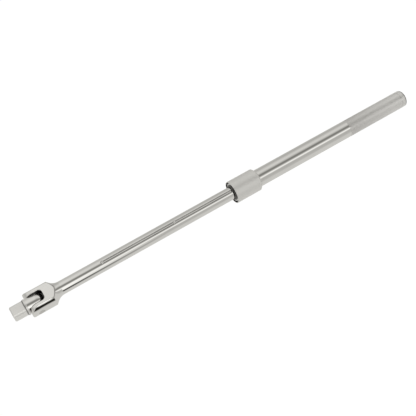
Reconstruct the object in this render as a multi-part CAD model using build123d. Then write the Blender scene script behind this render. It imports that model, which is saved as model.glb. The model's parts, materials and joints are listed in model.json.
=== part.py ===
from build123d import *
import os
from math import cos, radians, sin, sqrt

# Telescopic breaker bar, in millimetres, drawn extended with the drive in line with the handle.
# The origin is the centre of the drive square's tip face. +X runs along the bar towards the handle's end,
# +Z is square to the fork's milled flats, and the drive swings about an axis parallel to Y.

# Drive head: a square, a round flange, and a ball-ended knuckle that turns in the fork
SQUARE = 12.7
SQUARE_CORNER_R = 7.8
SQUARE_LENGTH = 13.8
TIP_CHAMFER = 1.0
FLANGE_R = 8.5
FLANGE_LENGTH = 2.5
FLANGE_ROUND = 0.8
KNUCKLE_R = 8.4
KNUCKLE_THICKNESS = 11.4
PIN_R = 3.0
PIN_CLEARANCE = 0.05
PIN_END_CHAMFER = 0.3
PIVOT_X = 25.8

# Socket retainer: a sprung ball in the +Y face of the square
RETAINER_X = 7.0
RETAINER_BALL_R = 1.9
RETAINER_BORE_R = 1.95
RETAINER_PROUD = 0.95
RETAINER_BORE_DEPTH = 5.2

# Fork, shoulder and inner bar, one forging
HEAD_R = 12.8
HEAD_FLAT = 9.3
SLOT_WIDTH = 11.8
SLOT_CORNER_R = 3.5
SLOT_GAP = 0.4
HEAD_END_X = 42.2
HEAD_END_ROUND = 0.8
NECK_FILLET = 12.0
BAR_R = 7.0
BAR_END_X = 306.0
BAR_END_BREAK = 1.0
EAR_EDGE = 0.5

# Sprung plunger that holds the drive at any angle
PLUNGER_R = 2.5
PLUNGER_BORE_R = 2.55
PLUNGER_GAP = 0.05
PLUNGER_LENGTH = 5.6
PLUNGER_BORE_DEPTH = 13.0

# Length lock: three pockets in a round-bottomed groove, and one ball carried by the tube
POCKETS = 3
POCKET_PITCH = 84.0
LOCK_X = 267.0
LOCK_TURN = 7.0
LOCK_BALL_R = 1.75
GROOVE_R = 1.85
GROOVE_DEPTH = 0.70
POCKET_R = 2.1
POCKET_DEPTH = 1.2
BALL_CLEARANCE = 0.05
BALL_HOLE_R = 1.78

# Outer tube, the handle
TUBE_R = 9.5
TUBE_BORE_R = 7.1
TUBE_FRONT_X = 255.1
TUBE_END_X = 483.5
NOSE_R = 9.0
NOSE_BREAK = 0.3
SHOULDER_X = 286.75
MOUTH_CHAMFER = 1.0
GRIP_R = 9.6
GRIP_START_X = 407.5
GRIP_END_X = 481.5
GRIP_RAMP = 0.4

# Locking collar that slides on the tube's nose
COLLAR_R = 12.5
COLLAR_FRONT_X = 254.7
COLLAR_REAR_X = 286.7
COLLAR_TAPER = 1.9
COLLAR_EDGE = 0.4
COLLAR_GUIDE_R = 9.06
COLLAR_GUIDE_LENGTH = 3.0
COLLAR_MOUTH_R = 11.7
COLLAR_MOUTH_DEPTH = 6.0
MOUTH_BREAK = 0.15
LAND_R = 9.9
RAMP_START_X = 266.6
RAMP_END_X = 269.8
RELIEF_END_X = 273.0
RELIEF_R = 10.65

# Rings, washer and spring on the nose
RING_GROOVE_DEPTH = 0.5
FRONT_RING_X = 255.6
FRONT_RING_R = 10.4
FRONT_RING_WIDTH = 1.0
SEAT_RING_X = 273.05
SEAT_RING_R = 9.75
SEAT_RING_WIDTH = 0.8
RING_GAP_DEGREES = 40.0
WASHER_R = 9.8
WASHER_BORE_R = 9.05
WASHER_WIDTH = 0.5
SIDE_PLAY = 0.02

# Springs
COLLAR_SPRING_WIRE = 0.6
COLLAR_SPRING_COILS = 6
PLUNGER_SPRING_WIRE = 0.6
PLUNGER_SPRING_COILS = 5
RETAINER_SPRING_WIRE = 0.4
RETAINER_SPRING_COILS = 3

# End cap, pressed into the tube
CAP_R = 9.4
CAP_LENGTH = 4.0
CAP_PLUG_LENGTH = 8.0
CAP_ROUND = 1.4
CAP_DIMPLE_R = 2.2
CAP_DIMPLE_DEPTH = 0.9

# Places worked out from the sizes above
FLANGE_REAR_X = SQUARE_LENGTH + FLANGE_LENGTH
SLOT_END_X = PIVOT_X + KNUCKLE_R + SLOT_GAP
PLUNGER_NOSE_X = PIVOT_X + KNUCKLE_R + PLUNGER_GAP
WASHER_X = SEAT_RING_X + SEAT_RING_WIDTH + SIDE_PLAY
SPRING_FRONT_X = WASHER_X + WASHER_WIDTH + SIDE_PLAY
SPRING_REAR_X = COLLAR_REAR_X - COLLAR_GUIDE_LENGTH - SIDE_PLAY
LOCK_BALL_RADIUS_OUT = BAR_R - GROOVE_DEPTH + BALL_CLEARANCE + LOCK_BALL_R
RETAINER_BALL_Y = SQUARE / 2 + RETAINER_PROUD - RETAINER_BALL_R

# A cylinder placed by its end, not by its middle
ON_END = (Align.CENTER, Align.CENTER, Align.MIN)


def turned(points):
    """A solid of revolution about the bar's axis, from its (x, radius) outline."""
    return revolve(make_face(Polyline(*points, close=True)), Axis.X)


def rod_x(radius, start, end):
    """A round rod along the bar's axis."""
    return Plane.YZ.offset(start) * Cylinder(radius, end - start, align=ON_END)


def rod_y(radius, x, length):
    """A round rod across the bar, parallel to Y and centred on the axis."""
    return Pos(x, 0, 0) * Rot(90, 0, 0) * Cylinder(radius, length)


def slab(start, end, width, height):
    """A rectangular block centred on the bar's axis."""
    return Pos((start + end) / 2, 0, 0) * Box(end - start, width, height)


def ring(x, width, inner, outer):
    """A plain washer about the bar's axis."""
    return turned([(x, inner), (x, outer), (x + width, outer), (x + width, inner)])


def split_ring(x, width, inner, outer):
    """A spring-steel retaining ring, open at the underside."""
    half = radians(RING_GAP_DEGREES / 2)
    reach = 2 * outer
    wedge = Polyline(
        (0, 0), (-reach * sin(half), -reach * cos(half)), (reach * sin(half), -reach * cos(half)), close=True
    )
    gap = extrude(Plane.YZ.offset(x - 1) * make_face(wedge), width + 2)
    return ring(x, width, inner, outer) - gap


def coil(start, end, mean_radius, wire, coils):
    """A compression spring along Z from start to end, measured over the wire."""
    pitch = (end - start - wire) / coils
    path = Helix(pitch, end - start - wire, mean_radius)
    section = Plane(path @ 0, z_dir=path % 0) * Circle(wire / 2)
    return Pos(0, 0, start + wire / 2) * sweep(section, path=path)


def drive_square():
    """The driving square, its corners turned down and its tip chamfered."""
    flats = slab(0, SQUARE_LENGTH, SQUARE, SQUARE)
    tip = flats.faces().sort_by(Axis.X)[0]
    flats = chamfer(tip.edges(), TIP_CHAMFER)
    corners = turned([
        (0, 0),
        (0, SQUARE_CORNER_R - TIP_CHAMFER),
        (TIP_CHAMFER, SQUARE_CORNER_R),
        (SQUARE_LENGTH, SQUARE_CORNER_R),
        (SQUARE_LENGTH, 0),
    ])
    return flats & corners


def drive_head():
    """Square, flange and knuckle in one piece, bored for the pivot pin and the retainer ball."""
    flange = rod_x(FLANGE_R, SQUARE_LENGTH, FLANGE_REAR_X)
    flange = fillet(flange.edges().filter_by(GeomType.CIRCLE), FLANGE_ROUND)
    knuckle = rod_x(KNUCKLE_R, SQUARE_LENGTH + FLANGE_ROUND, PIVOT_X) + Pos(PIVOT_X, 0, 0) * Sphere(KNUCKLE_R)
    knuckle = knuckle & slab(0, PIVOT_X + 2 * KNUCKLE_R, KNUCKLE_THICKNESS, 3 * KNUCKLE_R)
    pin_bore = rod_y(PIN_R + PIN_CLEARANCE, PIVOT_X, SQUARE * 2)
    floor = Pos(RETAINER_X, SQUARE / 2 - RETAINER_BORE_DEPTH, 0)
    retainer_bore = floor * Rot(-90, 0, 0) * Cylinder(RETAINER_BORE_R, SQUARE, align=ON_END)
    return drive_square() + flange + knuckle - pin_bore - retainer_bore


def retainer_ball():
    """The ball that holds a socket on the square."""
    return Pos(RETAINER_X, RETAINER_BALL_Y, 0) * Sphere(RETAINER_BALL_R)


def retainer_spring():
    """The spring under the retainer ball."""
    floor = SQUARE / 2 - RETAINER_BORE_DEPTH
    length = RETAINER_BALL_Y - RETAINER_BALL_R - floor
    mean = RETAINER_BORE_R - RETAINER_SPRING_WIRE
    spring = coil(0, length, mean, RETAINER_SPRING_WIRE, RETAINER_SPRING_COILS)
    return Pos(RETAINER_X, floor, 0) * Rot(-90, 0, 0) * spring


def bar_blank():
    """The turned shape of the fork's head, its shoulder and the bar behind it."""
    front = PIVOT_X - HEAD_FLAT
    neck = HEAD_END_X + HEAD_R - BAR_R
    outline = make_face(Polyline(
        (front, 0),
        (front, HEAD_R),
        (HEAD_END_X, HEAD_R),
        (neck, BAR_R),
        (BAR_END_X - BAR_END_BREAK, BAR_R),
        (BAR_END_X, BAR_R - BAR_END_BREAK),
        (BAR_END_X, 0),
        close=True,
    ))
    outline = fillet(outline.vertices().sort_by_distance((neck, BAR_R, 0))[0], NECK_FILLET)
    outline = fillet(outline.vertices().sort_by_distance((HEAD_END_X, HEAD_R, 0))[0], HEAD_END_ROUND)
    return revolve(outline, Axis.X)


def fork_outline():
    """The side view of the fork and bar: a front rounded about the pivot, and milled flats behind it."""
    front = rod_y(HEAD_FLAT, PIVOT_X, HEAD_R * 3)
    return front + slab(PIVOT_X, BAR_END_X, HEAD_R * 3, HEAD_FLAT * 2)


def fork_slot():
    """The slot that the knuckle turns in, with rounded inner corners."""
    slot = slab(0, SLOT_END_X, SLOT_WIDTH, HEAD_R * 3)
    inner = slot.edges().filter_by(Axis.Z).group_by(Axis.X)[-1]
    return fillet(inner, SLOT_CORNER_R)


def lock_groove():
    """The round-bottomed groove and its pockets, cut into the top of the bar."""
    height = BAR_R - GROOVE_DEPTH + GROOVE_R
    first = LOCK_X - (POCKETS - 1) * POCKET_PITCH
    cut = Pos(0, 0, height) * rod_x(GROOVE_R, first, LOCK_X)
    cut = cut + Pos(first, 0, height) * Sphere(GROOVE_R) + Pos(LOCK_X, 0, height) * Sphere(GROOVE_R)
    for number in range(POCKETS):
        place = Pos(first + number * POCKET_PITCH, 0, BAR_R - POCKET_DEPTH + POCKET_R)
        cut = cut + place * Sphere(POCKET_R)
    return Rot(LOCK_TURN, 0, 0) * cut


def inner_bar():
    """Fork, shoulder and sliding bar in one piece."""
    body = bar_blank() & fork_outline()
    body = body - fork_slot()
    head_edges = [edge for edge in body.edges() if edge.bounding_box().max.X < HEAD_END_X]
    rims = [edge for edge in head_edges if edge.length > HEAD_FLAT]
    body = fillet(rims, EAR_EDGE)
    body = body - rod_y(PIN_R, PIVOT_X, HEAD_R * 3)
    body = body - rod_x(PLUNGER_BORE_R, SLOT_END_X - 1, SLOT_END_X + PLUNGER_BORE_DEPTH)
    return body - lock_groove()


def pivot_pin():
    """The pin through the fork's ears, finished level with their round sides."""
    pin = rod_y(PIN_R, PIVOT_X, 2 * sqrt(HEAD_R**2 - PIN_R**2))
    return chamfer(pin.edges().filter_by(GeomType.CIRCLE), PIN_END_CHAMFER)


def friction_plunger():
    """The domed plunger that presses on the knuckle's ball end."""
    centre = PLUNGER_NOSE_X + PLUNGER_R
    return Pos(centre, 0, 0) * Sphere(PLUNGER_R) + rod_x(PLUNGER_R, centre, PLUNGER_NOSE_X + PLUNGER_LENGTH)


def plunger_spring():
    """The spring behind the plunger."""
    start = PLUNGER_NOSE_X + PLUNGER_LENGTH + SIDE_PLAY
    end = SLOT_END_X + PLUNGER_BORE_DEPTH - SIDE_PLAY
    spring = coil(0, end - start, PLUNGER_R - PLUNGER_SPRING_WIRE, PLUNGER_SPRING_WIRE, PLUNGER_SPRING_COILS)
    return Pos(start, 0, 0) * Rot(0, 90, 0) * spring


def outer_tube():
    """The handle tube: a turned-down nose, a plain shank and a raised grip band, bored right through."""
    tube = turned([
        (TUBE_FRONT_X, TUBE_BORE_R + MOUTH_CHAMFER),
        (TUBE_FRONT_X, NOSE_R - NOSE_BREAK),
        (TUBE_FRONT_X + NOSE_BREAK, NOSE_R),
        (SHOULDER_X, NOSE_R),
        (SHOULDER_X, TUBE_R),
        (GRIP_START_X, TUBE_R),
        (GRIP_START_X + GRIP_RAMP, GRIP_R),
        (GRIP_END_X - GRIP_RAMP, GRIP_R),
        (GRIP_END_X, TUBE_R),
        (TUBE_END_X, TUBE_R),
        (TUBE_END_X, TUBE_BORE_R),
        (TUBE_FRONT_X + MOUTH_CHAMFER, TUBE_BORE_R),
    ])
    groove_r = NOSE_R - RING_GROOVE_DEPTH
    tube = tube - ring(FRONT_RING_X, FRONT_RING_WIDTH, groove_r, TUBE_R)
    tube = tube - ring(SEAT_RING_X, SEAT_RING_WIDTH, groove_r, TUBE_R)
    hole = Pos(LOCK_X, 0, 0) * Cylinder(BALL_HOLE_R, COLLAR_R, align=ON_END)
    return tube - Rot(LOCK_TURN, 0, 0) * hole


def end_cap():
    """The cap that closes the tube's end, with a turned centre mark."""
    head = rod_x(CAP_R, TUBE_END_X, TUBE_END_X + CAP_LENGTH)
    rim = head.edges().filter_by(GeomType.CIRCLE).sort_by(Axis.X)[-1]
    head = fillet(rim, CAP_ROUND)
    plug = rod_x(TUBE_BORE_R, TUBE_END_X - CAP_PLUG_LENGTH, TUBE_END_X)
    mark = Pos(TUBE_END_X + CAP_LENGTH + CAP_DIMPLE_R - CAP_DIMPLE_DEPTH, 0, 0) * Sphere(CAP_DIMPLE_R)
    return head + plug - mark


def locking_collar():
    """The sliding collar: open mouth, ball land, ramp, relief, spring chamber and rear guide."""
    guide_x = COLLAR_REAR_X - COLLAR_GUIDE_LENGTH
    mouth_x = COLLAR_FRONT_X + COLLAR_MOUTH_DEPTH
    return turned([
        (COLLAR_FRONT_X, COLLAR_MOUTH_R + MOUTH_BREAK),
        (COLLAR_FRONT_X, COLLAR_R - COLLAR_EDGE),
        (COLLAR_FRONT_X + COLLAR_EDGE, COLLAR_R),
        (COLLAR_REAR_X - COLLAR_TAPER, COLLAR_R),
        (COLLAR_REAR_X, COLLAR_R - COLLAR_TAPER),
        (COLLAR_REAR_X, COLLAR_GUIDE_R),
        (guide_x, COLLAR_GUIDE_R),
        (guide_x, LAND_R),
        (RELIEF_END_X, LAND_R),
        (RELIEF_END_X, RELIEF_R),
        (RAMP_END_X, RELIEF_R),
        (RAMP_START_X, LAND_R),
        (mouth_x, LAND_R),
        (mouth_x, COLLAR_MOUTH_R),
        (COLLAR_FRONT_X + MOUTH_BREAK, COLLAR_MOUTH_R),
    ])


def lock_ball():
    """The ball that drops from the tube into a pocket of the bar."""
    return Rot(LOCK_TURN, 0, 0) * Pos(LOCK_X, 0, LOCK_BALL_RADIUS_OUT) * Sphere(LOCK_BALL_R)


def collar_spring():
    """The spring that holds the collar back over the lock ball."""
    mean = (WASHER_BORE_R + SEAT_RING_R) / 2 + SIDE_PLAY
    spring = coil(0, SPRING_REAR_X - SPRING_FRONT_X, mean, COLLAR_SPRING_WIRE, COLLAR_SPRING_COILS)
    return Pos(SPRING_FRONT_X, 0, 0) * Rot(0, 90, 0) * spring


def subparts():
    """Every node of the breaker bar and its solid."""
    groove_r = NOSE_R - RING_GROOVE_DEPTH
    return {
        "drive_head": drive_head(),
        "retainer_ball": retainer_ball(),
        "retainer_spring": retainer_spring(),
        "inner_bar": inner_bar(),
        "pivot_pin": pivot_pin(),
        "friction_plunger": friction_plunger(),
        "plunger_spring": plunger_spring(),
        "outer_tube": outer_tube(),
        "end_cap": end_cap(),
        "locking_collar": locking_collar(),
        "lock_ball": lock_ball(),
        "front_ring": split_ring(FRONT_RING_X, FRONT_RING_WIDTH, groove_r, FRONT_RING_R),
        "seat_ring": split_ring(SEAT_RING_X, SEAT_RING_WIDTH, groove_r, SEAT_RING_R),
        "spring_washer": ring(WASHER_X, WASHER_WIDTH, WASHER_BORE_R, WASHER_R),
        "collar_spring": collar_spring(),
    }


os.makedirs("parts", exist_ok=True)
for name, solid in subparts().items():
    export_step(solid, f"parts/{name}.step")
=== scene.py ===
"""Looks of a telescopic breaker bar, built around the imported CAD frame. All lengths are in metres."""

import json
import math
from collections import namedtuple

import bmesh
import bpy
from mathutils import Matrix, Vector


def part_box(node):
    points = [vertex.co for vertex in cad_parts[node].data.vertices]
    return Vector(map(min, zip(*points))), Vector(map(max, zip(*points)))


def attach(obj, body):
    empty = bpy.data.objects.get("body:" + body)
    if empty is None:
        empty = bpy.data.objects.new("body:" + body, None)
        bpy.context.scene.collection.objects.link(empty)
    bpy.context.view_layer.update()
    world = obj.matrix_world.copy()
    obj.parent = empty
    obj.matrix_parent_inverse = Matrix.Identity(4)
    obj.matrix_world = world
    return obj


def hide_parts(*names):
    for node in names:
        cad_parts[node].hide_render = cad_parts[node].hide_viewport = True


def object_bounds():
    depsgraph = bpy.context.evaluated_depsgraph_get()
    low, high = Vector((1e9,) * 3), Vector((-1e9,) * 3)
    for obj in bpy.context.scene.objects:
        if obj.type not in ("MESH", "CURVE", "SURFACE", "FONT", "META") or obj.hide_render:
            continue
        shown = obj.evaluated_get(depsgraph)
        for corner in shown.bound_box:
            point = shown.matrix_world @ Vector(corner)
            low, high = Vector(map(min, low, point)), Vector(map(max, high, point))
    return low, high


MM = 0.001

# Turned pieces
ROUND_STEPS = 192
TUBE_R = 9.5 * MM
TUBE_BORE_R = 7.1 * MM
NOSE_R = 9.0 * MM
NOSE_LENGTH = 31.65 * MM
MOUTH_CHAMFER = 1.0 * MM
RING_GROOVE_START = 0.5 * MM
RING_GROOVE_END = 1.5 * MM
RING_GROOVE_R = 8.5 * MM
EDGE_R = 0.35 * MM
EDGE_STEPS = 3

# Knurled grip, whose start is measured back from the tube's end
GRIP_START = 76.0 * MM
GRIP_LENGTH = 74.0 * MM
# Where the grip's brightening towards its rear starts and ends
GRIP_BRIGHT_FROM = 415.0 * MM
GRIP_BRIGHT_TO = 465.0 * MM
KNURL_STARTS = 44
KNURL_STEPS = 6
KNURL_DEPTH = 0.10 * MM
KNURL_TOP = 0.94
UNDER_GRIP_DEPTH = 0.30 * MM
# How much painted shade the knurl's cut bottoms get
KNURL_SHADE = 0.25

# Collar, with its ramp and relief measured from its front
COLLAR_MOUTH_R = 11.7 * MM
COLLAR_MOUTH_DEPTH = 6.0 * MM
COLLAR_BORE_R = 9.9 * MM
RAMP_START = 11.9 * MM
RELIEF_START = 15.1 * MM
RELIEF_END = 18.3 * MM
RELIEF_R = 10.65 * MM
COLLAR_GUIDE_R = 9.06 * MM
COLLAR_GUIDE_LENGTH = 3.0 * MM
COLLAR_TAPER = 1.9 * MM
# Where the painted shade inside the collar ends
COLLAR_INSIDE_END_X = 283.5 * MM
COLLAR_EDGE_STEPS = 4

# End cap
CAP_LENGTH = 4.0 * MM
CAP_R = 9.4 * MM
CAP_ROUND = 1.4 * MM
# Where the painted shade on the cap's rim starts
CAP_RIM_X = 485.6 * MM
CAP_MARK_R = 1.8 * MM
CAP_MARK_DEPTH = 0.9 * MM
CAP_ROUND_STEPS = 10
CAP_MARK_STEP = 15

# Bar
BAR_R = 7.0 * MM
BAR_END_BREAK = 1.0 * MM
PLAIN_STEP = 8.0 * MM
GROOVED_STEP = 4.0 * MM

# Fork
HEAD_R = 12.8 * MM
HEAD_END_X = 42.2 * MM
HEAD_FLAT = 9.3 * MM
NECK_FILLET = 12.0 * MM
NECK_END_X = HEAD_END_X + HEAD_R - BAR_R + NECK_FILLET * math.tan(math.radians(22.5))
NECK_STEP = 0.25 * MM
FORK_END_X = 46.0 * MM
FORK_SEAM = 0.02 * MM
SLOT_HALF = 5.9 * MM
SLOT_END_X = 34.6 * MM
# Painted shade in the fork's slot: how far it fades in towards the slot's end, and how dark its sides are
SLOT_FADE = 5.0 * MM
SLOT_SIDE_DARKNESS = 0.7
# Painted shade line where the flats meet the shoulder: its start, fade, width and darkness
SHOULDER_X = 38.5 * MM
SHOULDER_FADE = 3.0 * MM
SHOULDER_WIDTH = 1.2 * MM
SHOULDER_DARKNESS = 0.7
FORGED_SCALE = 110.0
FORGED_DETAIL = 1.0
FORGED_DEPTH = 0.2 * MM
FORGED_FADE_X = 41.0 * MM

# Lock groove and its pockets
GROOVE_R = 1.85 * MM
GROOVE_DEPTH = 0.70 * MM
GROOVE_FLOOR_RISE = 0.15 * MM
POCKET_R = 2.1 * MM
POCKET_DEPTH = 1.2 * MM
POCKET_PITCH = 84.0 * MM
POCKET_REACH = 2.3 * MM
POCKET_STEP = 0.12 * MM

# Degrees round the bar: the groove's turn from the top, its edges, and the finely divided stretch
GROOVE_TURN = 7.0
GROOVE_EDGE = 11.02
GROOVE_REACH = 15.0
GROOVE_STEP = 0.5
FAR_STEP = 2.0

# Drive
FLANGE_REAR_X = 16.3 * MM
SQUARE_LENGTH = 13.8 * MM
# Painted shade line at the square's foot: its width and darkness
FOOT_WIDTH = 0.9 * MM
FOOT_DARKNESS = 0.8

# Camera
CAMERA_AZIMUTH = -32.8
CAMERA_ELEVATION = 60.0
CAMERA_DISTANCE = 774.5 * MM
CAMERA_LENS = 64.0
CAMERA_AIM = Vector((223.7, -1.2, -1.6)) * MM
CAMERA_NEAR = 10.0 * MM
CAMERA_FAR = 50.0

# Floor
FLOOR_SIZE = 6.0
FLOOR_GAP = 0.5 * MM
FLOOR_SHADOWED = (0.12, 0.12, 0.12, 1)
FLOOR_GLOW = (0.96, 0.96, 0.96, 1)

# The metals' unevenness: scales per metre, levels of detail, and a noise's usual range of values
PATCH_SCALE = 60.0
PATCH_DETAIL = 3.0
SMEAR_SCALE = 160.0
SMEAR_DETAIL = 5.0
GRAIN_SCALE = 900.0
GRAIN_DETAIL = 2.0
NOISE_LOW = 0.3
NOISE_HIGH = 0.7
MICRON = 1e-6

# Which way a metal's marks run: along the bar, round it, or every way
SMEARED = (0.25, 1, 1)
DRAWN = (0.05, 1, 1)
ROUND = (1, 0.04, 0.04)
ALL_WAYS = (1, 1, 1)

# How far a zone's edge reaches past its face
SEAM = 0.05 * MM

# Meshes: how near points are welded, and the angle above which an edge stays sharp
WELD = 1e-7
WELD_DIGITS = 8
SHARP_ANGLE = 35.0

# A metal's light and dark tones, and its smoothest and roughest patches
Finish = namedtuple("Finish", "light dark smooth rough")


# ---------------------------------------------------------------- node helpers


def new_material(name):
    """An empty node material, its tree and its Principled shader."""
    material = bpy.data.materials.new(name)
    material.use_nodes = True
    tree = material.node_tree
    tree.nodes.clear()
    output = tree.nodes.new("ShaderNodeOutputMaterial")
    shader = tree.nodes.new("ShaderNodeBsdfPrincipled")
    tree.links.new(shader.outputs["BSDF"], output.inputs["Surface"])
    return material, tree, shader


def object_coordinates(tree, scale=(1, 1, 1)):
    """Coordinates in the row's own frame, stretched by scale."""
    source = tree.nodes.new("ShaderNodeTexCoord")
    mapping = tree.nodes.new("ShaderNodeMapping")
    mapping.inputs["Scale"].default_value = scale
    tree.links.new(source.outputs["Object"], mapping.inputs["Vector"])
    return mapping.outputs["Vector"]


def noise(tree, vector, scale, detail):
    """A noise texture's value."""
    node = tree.nodes.new("ShaderNodeTexNoise")
    node.inputs["Scale"].default_value = scale
    node.inputs["Detail"].default_value = detail
    tree.links.new(vector, node.inputs["Vector"])
    return node.outputs["Fac"]


def remap(tree, value, low, high, start=NOISE_LOW, end=NOISE_HIGH):
    """A value moved from start..end to low..high, and held at both ends."""
    node = tree.nodes.new("ShaderNodeMapRange")
    node.inputs["From Min"].default_value = start
    node.inputs["From Max"].default_value = end
    node.inputs["To Min"].default_value = low
    node.inputs["To Max"].default_value = high
    tree.links.new(value, node.inputs["Value"])
    return node.outputs["Result"]


def tint(tree, factor, first, second):
    """A colour between two colours."""
    node = tree.nodes.new("ShaderNodeMix")
    node.data_type = "RGBA"
    node.inputs["A"].default_value = (*first, 1)
    node.inputs["B"].default_value = (*second, 1)
    tree.links.new(factor, node.inputs["Factor"])
    return node.outputs["Result"]


def bump(tree, height, distance, normal=None):
    """A bump of the given height, in metres, on top of an earlier one if there is one."""
    node = tree.nodes.new("ShaderNodeBump")
    node.inputs["Distance"].default_value = distance
    tree.links.new(height, node.inputs["Height"])
    if normal is not None:
        tree.links.new(normal, node.inputs["Normal"])
    return node.outputs["Normal"]


def mixed(tree, factor, first, second, kind):
    """A mix of two linked colours or values."""
    node = tree.nodes.new("ShaderNodeMix")
    node.data_type = kind
    sockets = [socket for socket in node.inputs if socket.enabled]
    for link, socket in zip((factor, first, second), sockets):
        tree.links.new(link, socket)
    return next(socket for socket in node.outputs if socket.enabled)


def maths(tree, operation, first, second=0.0):
    """One arithmetic step on a linked value and, where it takes two, another value or a plain number."""
    node = tree.nodes.new("ShaderNodeMath")
    node.operation = operation
    tree.links.new(first, node.inputs[0])
    if isinstance(second, float):
        node.inputs[1].default_value = second
    else:
        tree.links.new(second, node.inputs[1])
    return node.outputs["Value"]


def both(tree, first, second):
    """Where two zones overlap."""
    return maths(tree, "MULTIPLY", first, second)


def place(tree):
    """The x, y and z of the point being shaded, in the row's own frame."""
    split = tree.nodes.new("ShaderNodeSeparateXYZ")
    tree.links.new(object_coordinates(tree), split.inputs["Vector"])
    return split.outputs["X"], split.outputs["Y"], split.outputs["Z"]


def distance_out(tree):
    """Distance from the bar's axis."""
    _, y, z = place(tree)
    squares = maths(tree, "ADD", maths(tree, "MULTIPLY", y, y), maths(tree, "MULTIPLY", z, z))
    return maths(tree, "SQRT", squares)


# ----------------------------------------------------- where finishes change and where shade is painted


def slot_shade_zone(tree):
    """Painted shade on the walls of the fork's slot, coloured black and darkest at its end."""
    x, y, z = place(tree)
    between = maths(tree, "LESS_THAN", maths(tree, "ABSOLUTE", y), SLOT_HALF + SEAM)
    before_end = maths(tree, "LESS_THAN", x, SLOT_END_X + SEAM)
    below_flat = maths(tree, "LESS_THAN", maths(tree, "ABSOLUTE", z), HEAD_FLAT - EDGE_R)
    darkness = remap(tree, x, SLOT_SIDE_DARKNESS, 1, SLOT_END_X - SLOT_FADE, SLOT_END_X)
    return both(tree, darkness, both(tree, both(tree, between, before_end), below_flat))


def shoulder_shade_line(tree):
    """Painted shade: a dark line where the fork's flats run out into its round shoulder."""
    x, _, z = place(tree)
    below = maths(tree, "SUBTRACT", maths(tree, "ABSOLUTE", z), HEAD_FLAT)
    near_flat = remap(tree, below, 0, SHOULDER_DARKNESS, -SHOULDER_WIDTH, -SHOULDER_WIDTH / 2)
    off_flat = maths(tree, "LESS_THAN", below, -SEAM)
    behind_slot = remap(tree, x, 0, 1, SHOULDER_X, SHOULDER_X + SHOULDER_FADE)
    return both(tree, near_flat, both(tree, off_flat, behind_slot))


def forged_waves(tree):
    """The slight waviness that polishing leaves on the forged head, gone where the neck is turned."""
    waves = noise(tree, object_coordinates(tree), FORGED_SCALE, FORGED_DETAIL)
    centred = maths(tree, "SUBTRACT", waves, 0.5)
    return both(tree, centred, remap(tree, place(tree)[0], 1, 0, FORGED_FADE_X, FORK_END_X))


def groove_wall_shade(tree):
    """Painted shade on the steep sides of the lock groove, in a darker, rougher finish."""
    out = distance_out(tree)
    below_surface = maths(tree, "LESS_THAN", out, BAR_R - SEAM)
    above_floor = maths(tree, "GREATER_THAN", out, BAR_R - GROOVE_DEPTH + GROOVE_FLOOR_RISE)
    return both(tree, below_surface, above_floor)


def knuckle_zone(tree):
    """The polished knuckle behind the flange."""
    return maths(tree, "GREATER_THAN", place(tree)[0], FLANGE_REAR_X - SEAM)


def foot_shade_zone(tree):
    """Painted shade in the corner where the square meets its flange."""
    offset = maths(tree, "SUBTRACT", place(tree)[0], SQUARE_LENGTH)
    return remap(tree, maths(tree, "ABSOLUTE", offset), FOOT_DARKNESS, 0, 0, FOOT_WIDTH)


def nose_zone(tree):
    """The tube's nose under the collar, coloured dark as painted shade inside the collar's mouth."""
    return maths(tree, "LESS_THAN", distance_out(tree), NOSE_R + SEAM)


def mouth_shade_zone(tree):
    """Painted shade: the inside of the collar, short of its tapered rear, coloured black."""
    inner = maths(tree, "LESS_THAN", distance_out(tree), COLLAR_MOUTH_R + SEAM)
    before_taper = maths(tree, "LESS_THAN", place(tree)[0], COLLAR_INSIDE_END_X)
    return both(tree, inner, before_taper)


def rim_shade_zone(tree):
    """Painted shade: a dark band round the end cap's rounded rim."""
    at_end = remap(tree, place(tree)[0], 0, 1, CAP_RIM_X, CAP_RIM_X + EDGE_R)
    off_face = maths(tree, "GREATER_THAN", distance_out(tree), CAP_R - CAP_ROUND)
    return both(tree, at_end, off_face)


def tail_zone(tree):
    """The plain end of the tube behind the grip, as bright as the grip's rear."""
    return maths(tree, "GREATER_THAN", place(tree)[0], GRIP_BRIGHT_TO)


def rear_brightening(tree):
    """The grip, brighter towards its rear."""
    return remap(tree, place(tree)[0], 0, 1, GRIP_BRIGHT_FROM, GRIP_BRIGHT_TO)


def knurl_shade_zone(tree):
    """Painted shade at the bottoms of the knurl's cuts."""
    return remap(tree, distance_out(tree), KNURL_SHADE, 0, TUBE_R - KNURL_DEPTH / 2, TUBE_R)


# ------------------------------------------------------------------- materials


CHROME = Finish((0.915, 0.91, 0.90), (0.88, 0.875, 0.865), 0.03, 0.06)
TURNED = Finish((0.97, 0.965, 0.955), (0.93, 0.925, 0.915), 0.52, 0.62)
SATIN = Finish((0.99, 0.985, 0.975), (0.96, 0.955, 0.945), 0.34, 0.44)
GRIP = Finish((0.88, 0.87, 0.865), (0.83, 0.82, 0.815), 0.44, 0.54)
# A brighter finish for the grip's rear and the tube's end
REAR_BRIGHT = Finish((1.0, 0.995, 0.99), (0.98, 0.975, 0.97), 0.42, 0.52)
CAP = Finish((0.99, 0.985, 0.98), (0.96, 0.955, 0.95), 0.50, 0.60)
# The next three finishes are painted shade, for the slot, corners, recesses and dark edge lines
BLACK_SHADE = Finish((0.030, 0.029, 0.028), (0.012, 0.012, 0.012), 0.40, 0.60)
DEEP_SHADE = Finish((0.17, 0.165, 0.16), (0.07, 0.07, 0.07), 0.16, 0.30)
SHADED = Finish((0.42, 0.41, 0.40), (0.30, 0.295, 0.29), 0.35, 0.50)
GROUND = Finish((0.72, 0.715, 0.70), (0.64, 0.635, 0.62), 0.18, 0.30)
ZINC = Finish((0.86, 0.86, 0.85), (0.76, 0.76, 0.75), 0.22, 0.34)
WIRE = Finish((0.44, 0.44, 0.45), (0.34, 0.34, 0.35), 0.25, 0.38)
BALL = Finish((0.84, 0.84, 0.85), (0.78, 0.78, 0.79), 0.04, 0.10)


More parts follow.
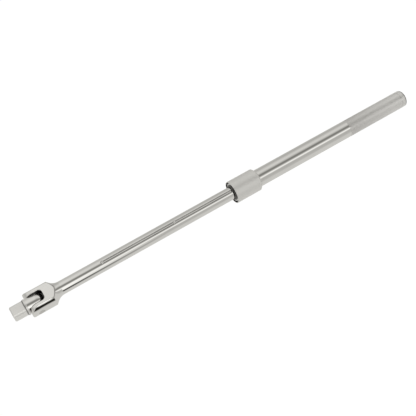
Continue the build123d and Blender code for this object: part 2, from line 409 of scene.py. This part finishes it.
def finish_inputs(tree, finish, patches, smears):
    """Colour and roughness of a finish, uneven in patches and smears."""
    colour = tint(tree, remap(tree, patches, 0, 1), finish.dark, finish.light)
    return colour, remap(tree, smears, finish.smooth, finish.rough)


def metal(name, finish, grain, grain_microns, zones=(), forged=False):
    """A metal with patchy tone and roughness and a fine grain, and another finish inside each zone."""
    material, tree, shader = new_material(name)
    patches = noise(tree, object_coordinates(tree), PATCH_SCALE, PATCH_DETAIL)
    smears = noise(tree, object_coordinates(tree, SMEARED), SMEAR_SCALE, SMEAR_DETAIL)
    lines = noise(tree, object_coordinates(tree, grain), GRAIN_SCALE, GRAIN_DETAIL)
    colour, roughness = finish_inputs(tree, finish, patches, smears)
    for zone, other in zones:
        inside = zone(tree)
        other_colour, other_roughness = finish_inputs(tree, other, patches, smears)
        colour = mixed(tree, inside, colour, other_colour, "RGBA")
        roughness = mixed(tree, inside, roughness, other_roughness, "FLOAT")
    shader.inputs["Metallic"].default_value = 1.0
    tree.links.new(colour, shader.inputs["Base Color"])
    tree.links.new(roughness, shader.inputs["Roughness"])
    normal = bump(tree, lines, grain_microns * MICRON)
    if forged:
        normal = bump(tree, forged_waves(tree), FORGED_DEPTH, normal)
    tree.links.new(normal, shader.inputs["Normal"])
    return material


def materials():
    """Every finish on the object by the record's material slot, and the fork's and the grip's own."""
    bar_zones = [(groove_wall_shade, SHADED), (shoulder_shade_line, SHADED)]
    fork_zones = [(slot_shade_zone, BLACK_SHADE), (shoulder_shade_line, SHADED)]
    tube_zones = [(nose_zone, DEEP_SHADE), (tail_zone, REAR_BRIGHT)]
    grip_zones = [(rear_brightening, REAR_BRIGHT), (knurl_shade_zone, SHADED)]
    drive_zones = [(knuckle_zone, CHROME), (foot_shade_zone, BLACK_SHADE)]
    return {
        "chrome_bar": metal("bar_chrome", CHROME, DRAWN, 1, bar_zones),
        "fork": metal("fork_chrome", CHROME, ALL_WAYS, 1, fork_zones, forged=True),
        "chrome_tube": metal("tube_chrome", CHROME, DRAWN, 1, tube_zones),
        "grip": metal("knurled_chrome", GRIP, ALL_WAYS, 3, grip_zones),
        "collar_chrome": metal("turned_collar_chrome", TURNED, ROUND, 3, [(mouth_shade_zone, BLACK_SHADE)]),
        "cap_chrome": metal("cap_chrome", CAP, ALL_WAYS, 2, [(rim_shade_zone, SHADED)]),
        "satin_steel": metal("drive_steel", SATIN, ALL_WAYS, 6, drive_zones),
        "pin_steel": metal("ground_pin_steel", GROUND, ALL_WAYS, 4),
        "ring_steel": metal("zinc_plated_ring", ZINC, ALL_WAYS, 4),
        "spring_steel": metal("drawn_spring_wire", WIRE, ALL_WAYS, 4),
        "bearing_steel": metal("bearing_steel", BALL, ALL_WAYS, 1),
    }


def finish_cad_nodes(frame, finishes):
    """Gives each carried-over CAD node the finish of its slot."""
    for part in frame["record"]["subparts"]:
        mesh = frame["nodes"][part["node"]].data
        mesh.materials.clear()
        mesh.materials.append(finishes[part["material_slot"]])


# ---------------------------------------------------------------------- meshes


def mesh_object(name, vertices, faces, finish):
    """A smooth-shaded mesh that keeps its sharp edges."""
    mesh = bpy.data.meshes.new(name)
    mesh.from_pydata(vertices, [], faces)
    work = bmesh.new()
    work.from_mesh(mesh)
    bmesh.ops.remove_doubles(work, verts=work.verts, dist=WELD)
    bmesh.ops.recalc_face_normals(work, faces=work.faces)
    work.to_mesh(mesh)
    work.free()
    mesh.materials.append(finish)
    mesh.shade_smooth()
    mesh.set_sharp_from_angle(angle=math.radians(SHARP_ANGLE))
    return placed(name, mesh)


def placed(name, data):
    """A new object in the scene for a mesh or a camera."""
    thing = bpy.data.objects.new(name, data)
    bpy.context.scene.collection.objects.link(thing)
    return thing


def carried(piece, body, node):
    """Says which body a piece rides on, and hides the CAD node it replaces."""
    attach(piece, body)
    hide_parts(node)


def arc(centre_x, centre_r, radius, start, end, steps):
    """Points of an arc in the (x, radius) plane, with angles in degrees from +X."""
    points = []
    for i in range(steps + 1):
        angle = math.radians(start + (end - start) * i / steps)
        points.append((centre_x + radius * math.cos(angle), centre_r + radius * math.sin(angle)))
    return points


def lathe(name, outline, finish, closed=True):
    """A turned piece about the X axis from its (x, radius) outline."""
    vertices = []
    faces = []
    count = len(outline)
    spans = count if closed else count - 1
    for i in range(ROUND_STEPS):
        angle = 2 * math.pi * i / ROUND_STEPS
        vertices += [(x, r * math.cos(angle), r * math.sin(angle)) for x, r in outline]
    for i in range(ROUND_STEPS):
        near = i * count
        far = (i + 1) % ROUND_STEPS * count
        for j in range(spans):
            k = (j + 1) % count
            faces.append((near + j, near + k, far + k, far + j))
    return even_normals(mesh_object(name, vertices, faces, finish))


def even_normals(piece):
    """Keeps long straight stretches straight in reflections, beside small rounded edges."""
    modifier = piece.modifiers.new("even_normals", "WEIGHTED_NORMAL")
    modifier.keep_sharp = True
    return piece


def skin(name, places, angles, radius, finish, ends=False):
    """A radial surface about the X axis: radius(x, angle) at every place and angle, in metres and degrees."""
    vertices = []
    faces = []
    count = len(angles)
    for x in places:
        for angle in angles:
            r = radius(x, angle)
            turn = math.radians(angle)
            vertices.append((x, r * math.sin(turn), r * math.cos(turn)))
    for i in range(len(places) - 1):
        for j in range(count):
            k = (j + 1) % count
            here = i * count
            faces.append((here + j, here + k, here + count + k, here + count + j))
    if ends:
        last = (len(places) - 1) * count
        faces.append(tuple(range(count)))
        faces.append(tuple(range(last + count - 1, last - 1, -1)))
    return mesh_object(name, vertices, faces, finish)


def spaced(start, end, step):
    """Evenly spaced values from start to end, both included, no further apart than step."""
    count = max(1, math.ceil((end - start) / step))
    return [start + (end - start) * i / count for i in range(count + 1)]


# ---------------------------------------------------------------------- pieces


def handle_tube(finish, front, end):
    """The handle's tube, with its turned-down nose, ring groove and shoulder, and a band under the knurl."""
    shoulder = front + NOSE_LENGTH
    grip = end - GRIP_START
    under_grip = TUBE_R - UNDER_GRIP_DEPTH
    outline = [
        (front, TUBE_BORE_R + MOUTH_CHAMFER),
        (front, NOSE_R - EDGE_R),
        *arc(front + EDGE_R, NOSE_R - EDGE_R, EDGE_R, 180, 90, EDGE_STEPS),
        (front + RING_GROOVE_START, NOSE_R),
        (front + RING_GROOVE_START, RING_GROOVE_R),
        (front + RING_GROOVE_END, RING_GROOVE_R),
        (front + RING_GROOVE_END, NOSE_R),
        (shoulder, NOSE_R),
        (shoulder, TUBE_R - EDGE_R),
        *arc(shoulder + EDGE_R, TUBE_R - EDGE_R, EDGE_R, 180, 90, EDGE_STEPS),
        (grip, TUBE_R),
        (grip, under_grip),
        (grip + GRIP_LENGTH, under_grip),
        (grip + GRIP_LENGTH, TUBE_R),
        (end - EDGE_R, TUBE_R),
        *arc(end - EDGE_R, TUBE_R - EDGE_R, EDGE_R, 90, 0, EDGE_STEPS),
        (end, TUBE_BORE_R),
        (front + MOUTH_CHAMFER, TUBE_BORE_R),
    ]
    piece = lathe("handle_tube", outline, finish)
    carried(piece, "handle", "outer_tube")


def knurl_height(x, angle):
    """Height of the knurl above its floor: crossed helical cuts that leave blunt diamonds."""
    turns = angle / 360 * KNURL_STARTS
    rise = x / (2 * math.pi * TUBE_R) * KNURL_STARTS
    first = 1 - abs(2 * ((turns + rise) % 1) - 1)
    second = 1 - abs(2 * ((turns - rise) % 1) - 1)
    return min(first, second, KNURL_TOP) / KNURL_TOP * KNURL_DEPTH


def grip_knurl(finish, start):
    """The band of fine diamond knurling near the handle's end."""
    step = 2 * math.pi * TUBE_R / KNURL_STARTS / KNURL_STEPS
    places = [step * i for i in range(round(GRIP_LENGTH / step) + 1)]
    angles = [360 * i / (KNURL_STARTS * KNURL_STEPS) for i in range(KNURL_STARTS * KNURL_STEPS)]
    floor = TUBE_R - KNURL_DEPTH / 2

    def radius(x, angle):
        if x in (places[0], places[-1]):
            return floor - KNURL_DEPTH
        return floor + knurl_height(x, angle)

    piece = skin("grip_knurl", places, angles, radius, finish)
    piece.data.transform(Matrix.Translation((start, 0, 0)))
    carried(piece, "handle", "outer_tube")


def collar_sleeve(finish, front, rear, outer):
    """The locking collar, with a deep mouth, a relief that frees the ball and a tapered rear."""
    soft = 2 * EDGE_R
    outline = [
        (front, COLLAR_MOUTH_R + EDGE_R / 2),
        (front, outer - EDGE_R),
        *arc(front + EDGE_R, outer - EDGE_R, EDGE_R, 180, 90, COLLAR_EDGE_STEPS),
        (rear - COLLAR_TAPER - soft, outer),
        *arc(rear - COLLAR_TAPER - soft, outer - soft, soft, 90, 45, COLLAR_EDGE_STEPS),
        *arc(rear - soft, outer - COLLAR_TAPER - soft / 2, soft / 2, 45, 0, COLLAR_EDGE_STEPS),
        (rear, COLLAR_GUIDE_R),
        (rear - COLLAR_GUIDE_LENGTH, COLLAR_GUIDE_R),
        (rear - COLLAR_GUIDE_LENGTH, COLLAR_BORE_R),
        (front + RELIEF_END, COLLAR_BORE_R),
        (front + RELIEF_END, RELIEF_R),
        (front + RELIEF_START, RELIEF_R),
        (front + RAMP_START, COLLAR_BORE_R),
        (front + COLLAR_MOUTH_DEPTH, COLLAR_BORE_R),
        (front + COLLAR_MOUTH_DEPTH, COLLAR_MOUTH_R),
        (front + EDGE_R / 2, COLLAR_MOUTH_R),
    ]
    piece = lathe("collar_sleeve", outline, finish)
    carried(piece, "collar", "locking_collar")


def cap_disc(finish, face):
    """The end cap's head, with a rounded rim and a shallow centre mark."""
    back = face - CAP_LENGTH
    mark = []
    for degrees in range(0, 91, CAP_MARK_STEP):
        angle = math.radians(degrees)
        mark.append((face - CAP_MARK_DEPTH * math.cos(angle), CAP_MARK_R * math.sin(angle)))
    outline = [
        (back, 0),
        (back, CAP_R - EDGE_R),
        *arc(back + EDGE_R, CAP_R - EDGE_R, EDGE_R, 180, 90, EDGE_STEPS),
        (face - CAP_ROUND, CAP_R),
        *arc(face - CAP_ROUND, CAP_R - CAP_ROUND, CAP_ROUND, 90, 0, CAP_ROUND_STEPS),
        *reversed(mark),
    ]
    piece = lathe("cap_disc", outline, finish, closed=False)
    carried(piece, "handle", "end_cap")


def plain_radius(x):
    """Radius of the uncut bar, which flares into the fork's shoulder at its front."""
    flare = max(NECK_END_X - x, 0)
    return BAR_R + NECK_FILLET - math.sqrt(NECK_FILLET**2 - flare**2)


def groove_radius(angle, x, pockets):
    """Radius of the bar at an angle from the groove's middle, cut by the groove and its pockets."""
    across = math.radians(angle)
    cuts = []
    if pockets[0] <= x <= pockets[-1]:
        cuts.append((BAR_R - GROOVE_DEPTH + GROOVE_R, GROOVE_R, 0))
    for pocket in pockets:
        cuts.append((BAR_R - POCKET_DEPTH + POCKET_R, POCKET_R, x - pocket))
    lowest = plain_radius(x)
    for height, radius, along in cuts:
        inside = radius**2 - along**2 - (height * math.sin(across)) ** 2
        if inside > 0 and math.cos(across) > 0:
            lowest = min(lowest, height * math.cos(across) - math.sqrt(inside))
    return lowest


def bar_shaft(finish, pockets, end):
    """The neck and bar behind the fork, with its lock groove and pockets."""
    places = [FORK_END_X, *spaced(FORK_END_X + FORK_SEAM, NECK_END_X, NECK_STEP)]
    places += spaced(NECK_END_X, pockets[0] - POCKET_REACH, PLAIN_STEP)
    for i, pocket in enumerate(pockets):
        places += spaced(pocket - POCKET_REACH, pocket + POCKET_REACH, POCKET_STEP)
        following = pockets[i + 1] - POCKET_REACH if i + 1 < len(pockets) else end - BAR_END_BREAK
        places += spaced(pocket + POCKET_REACH, following, GROOVED_STEP)
    places.append(end)
    near = sorted([-GROOVE_EDGE, GROOVE_EDGE, *spaced(-GROOVE_REACH, GROOVE_REACH, GROOVE_STEP)])
    far = spaced(GROOVE_REACH, 360 - GROOVE_REACH, FAR_STEP)[1:-1]
    angles = [angle - GROOVE_TURN for angle in near + far]

    def radius(x, angle):
        if x == end:
            return BAR_R - BAR_END_BREAK
        return groove_radius((angle + GROOVE_TURN + 180) % 360 - 180, x, pockets)

    piece = skin("bar_shaft", sorted(set(places)), angles, radius, finish, ends=True)
    carried(piece, "bar", "inner_bar")


def cut_face(corners, cut_x):
    """The part of a face in front of cut_x. A corner is a pair of place and normal."""
    kept = []
    for i, (here, normal) in enumerate(corners):
        before, before_normal = corners[i - 1]
        if (here.x < cut_x) != (before.x < cut_x):
            share = (cut_x - before.x) / (here.x - before.x)
            kept.append((before.lerp(here, share), before_normal.lerp(normal, share).normalized()))
        if here.x < cut_x:
            kept.append((here, normal))
    return kept


def face_corners(mesh, face):
    """The place and normal of each of a face's corners."""
    corners = []
    for i in face.loop_indices:
        vertex = mesh.vertices[mesh.loops[i].vertex_index]
        corners.append((vertex.co.copy(), mesh.corner_normals[i].vector.copy()))
    return corners


def fork_head(finish, node):
    """The fork and its shoulder: the CAD shape as far as the neck, with its smooth normals kept."""
    numbers = {}
    vertices = []
    faces = []
    normals = []
    for cad_face in node.data.polygons:
        face = []
        kept = cut_face(face_corners(node.data, cad_face), FORK_END_X)
        for corner, _ in kept:
            key = tuple(round(value, WELD_DIGITS) for value in corner)
            if key not in numbers:
                numbers[key] = len(vertices)
                vertices.append(corner)
            face.append(numbers[key])
        if len(set(face)) == len(face) > 2:
            faces.append(face)
            normals += [normal for _, normal in kept]
    mesh = bpy.data.meshes.new("fork_head")
    mesh.from_pydata(vertices, [], faces)
    mesh.materials.append(finish)
    mesh.shade_smooth()
    mesh.normals_split_custom_set(normals)
    carried(placed("fork_head", mesh), "bar", "inner_bar")


# ------------------------------------------------------------- camera and light


def add_camera():
    """The camera, upright and looking down on the bar from the drive's side."""
    azimuth = math.radians(CAMERA_AZIMUTH)
    elevation = math.radians(CAMERA_ELEVATION)
    back = Vector((
        math.sin(azimuth) * math.cos(elevation),
        -math.cos(azimuth) * math.cos(elevation),
        math.sin(elevation),
    ))
    data = bpy.data.cameras.new("camera")
    data.lens = CAMERA_LENS
    data.clip_start = CAMERA_NEAR
    data.clip_end = CAMERA_FAR
    camera = placed("camera", data)
    camera.rotation_mode = "QUATERNION"
    camera.location = CAMERA_AIM + back * CAMERA_DISTANCE
    camera.rotation_quaternion = (-back).to_track_quat("-Z", "Y")
    bpy.context.scene.camera = camera


def grey(tone):
    """Linear light that shows as an 8-bit screen tone."""
    value = tone / 255
    return value / 12.92 if value <= 0.04045 else ((value + 0.055) / 1.055) ** 2.4


# The studio round the bar: screen tones by angle about the bar's axis, in degrees.
# 0 is the horizon on the camera's side (-Y), 90 is overhead and 180 the far horizon.
# ALONG is what the bar's length reflects, and ACROSS is what shows square to the bar.
ALONG = (
    (-90, 196), (-15, 196), (-7, 188), (2, 180), (10, 174), (30, 172), (37, 180), (43, 214), (50, 245),
    (56, 226), (63, 180), (70, 143), (76, 124), (83, 120), (89, 127), (103, 184), (119, 206), (130, 202),
    (169, 168), (195, 178), (270, 196),
)
ACROSS = (
    (-90, 198), (-18, 198), (-13, 172), (-8, 60), (0, 20), (9, 22), (13, 90), (18, 230), (25, 255),
    (46, 250), (56, 240), (63, 185), (70, 140), (76, 122), (83, 120), (89, 130), (100, 185), (112, 212),
    (140, 208), (169, 185), (195, 185), (270, 200),
)
ACROSS_FULL = 0.04
ACROSS_GONE = 0.21
CHROME_REFLECTANCE = 0.895
WARMER_RED = 1
WEAKER_BLUE = 4


def add_studio():
    """Soft light and dark panels all round for the metal to reflect, and white behind them for the camera."""
    world = bpy.data.worlds.new("studio")
    bpy.context.scene.world = world
    world.use_nodes = True
    tree = world.node_tree
    tree.nodes.clear()
    output = tree.nodes.new("ShaderNodeOutputWorld")
    backdrop = tree.nodes.new("ShaderNodeBackground")
    backdrop.inputs["Color"].default_value = (1, 1, 1, 1)
    panels = tree.nodes.new("ShaderNodeBackground")
    tree.links.new(studio_light(tree), panels.inputs["Color"])
    panels.inputs["Strength"].default_value = 1 / CHROME_REFLECTANCE
    rays = tree.nodes.new("ShaderNodeLightPath")
    mix = tree.nodes.new("ShaderNodeMixShader")
    tree.links.new(rays.outputs["Is Camera Ray"], mix.inputs["Fac"])
    tree.links.new(panels.outputs["Background"], mix.inputs[1])
    tree.links.new(backdrop.outputs["Background"], mix.inputs[2])
    tree.links.new(mix.outputs["Shader"], output.inputs["Surface"])


def studio_light(tree):
    """The studio's light by direction."""
    direction = tree.nodes.new("ShaderNodeTexCoord")
    split = tree.nodes.new("ShaderNodeSeparateXYZ")
    tree.links.new(direction.outputs["Generated"], split.inputs["Vector"])
    near = maths(tree, "MULTIPLY", split.outputs["Y"], -1.0)
    angle = maths(tree, "ARCTAN2", split.outputs["Z"], near)
    low = math.radians(ALONG[0][0])
    high = low + 2 * math.pi
    turned = tree.nodes.new("ShaderNodeMath")
    turned.operation = "WRAP"
    turned.inputs[1].default_value = high
    turned.inputs[2].default_value = low
    tree.links.new(angle, turned.inputs[0])
    fraction = remap(tree, turned.outputs["Value"], 0, 1, low, high)
    lengthwise = maths(tree, "ABSOLUTE", split.outputs["X"])
    square_on = remap(tree, lengthwise, 1, 0, ACROSS_FULL, ACROSS_GONE)
    along = panel_ramp(tree, fraction, ALONG)
    across = panel_ramp(tree, fraction, ACROSS)
    return mixed(tree, square_on, along, across, "RGBA")


def panel_ramp(tree, fraction, tones):
    """A band of greys round the bar."""
    node = tree.nodes.new("ShaderNodeValToRGB")
    tree.links.new(fraction, node.inputs["Fac"])
    stops = node.color_ramp.elements
    stops[0].color = studio_colour(tones[0][1])
    stops[1].color = studio_colour(tones[-1][1])
    for degrees, tone in tones[1:-1]:
        stop = stops.new((degrees - tones[0][0]) / 360)
        stop.color = studio_colour(tone)
    return node.outputs["Color"]


def studio_colour(tone):
    """A slightly warm grey of the given screen tone."""
    return (grey(tone + WARMER_RED), grey(tone), grey(max(tone - WEAKER_BLUE, 0)), 1)


def add_floor(lowest):
    """A plain pale floor just under the object."""
    height = lowest - FLOOR_GAP
    corners = [(x * FLOOR_SIZE, y * FLOOR_SIZE, height) for x, y in ((-1, -1), (1, -1), (1, 1), (-1, 1))]
    floor = mesh_object("floor", corners, [(0, 1, 2, 3)], floor_material())
    floor.visible_glossy = False


def floor_material():
    """Pale, with only a trace of shadow."""
    material = bpy.data.materials.new("pale_floor")
    material.use_nodes = True
    tree = material.node_tree
    tree.nodes.clear()
    output = tree.nodes.new("ShaderNodeOutputMaterial")
    matt = tree.nodes.new("ShaderNodeBsdfDiffuse")
    matt.inputs["Color"].default_value = FLOOR_SHADOWED
    glow = tree.nodes.new("ShaderNodeEmission")
    glow.inputs["Color"].default_value = FLOOR_GLOW
    total = tree.nodes.new("ShaderNodeAddShader")
    tree.links.new(matt.outputs["BSDF"], total.inputs[0])
    tree.links.new(glow.outputs["Emission"], total.inputs[1])
    tree.links.new(total.outputs["Shader"], output.inputs["Surface"])
    return material


def plain(box):
    """A pair of corners as plain lists."""
    return [list(corner) for corner in box]


# ------------------------------------------------------------------- the scene


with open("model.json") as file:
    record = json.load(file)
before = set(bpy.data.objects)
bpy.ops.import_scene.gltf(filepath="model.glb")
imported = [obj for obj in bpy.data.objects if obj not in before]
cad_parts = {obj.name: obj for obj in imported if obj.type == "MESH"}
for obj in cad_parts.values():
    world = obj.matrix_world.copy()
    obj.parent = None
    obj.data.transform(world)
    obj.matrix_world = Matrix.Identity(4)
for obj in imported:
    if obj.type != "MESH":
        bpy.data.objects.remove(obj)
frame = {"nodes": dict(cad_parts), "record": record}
cad_box = plain(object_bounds())
finishes = materials()
finish_cad_nodes(frame, finishes)
tube_front, tube_end = (corner.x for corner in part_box("outer_tube"))
handle_tube(finishes["chrome_tube"], tube_front, tube_end)
grip_knurl(finishes["grip"], tube_end - GRIP_START)
collar_low, collar_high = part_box("locking_collar")
collar_sleeve(finishes["collar_chrome"], collar_low.x, collar_high.x, collar_high.z)
cap_disc(finishes["cap_chrome"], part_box("end_cap")[1].x)
lock_x = sum(corner.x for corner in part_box("lock_ball")) / 2
pockets = [lock_x - POCKET_PITCH * i for i in (2, 1, 0)]
bar_shaft(finishes["chrome_bar"], pockets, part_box("inner_bar")[1].x)
fork_head(finishes["fork"], frame["nodes"]["inner_bar"])
add_camera()
add_studio()
add_floor(cad_box[0][2])
bpy.context.scene.view_settings.view_transform = "Standard"
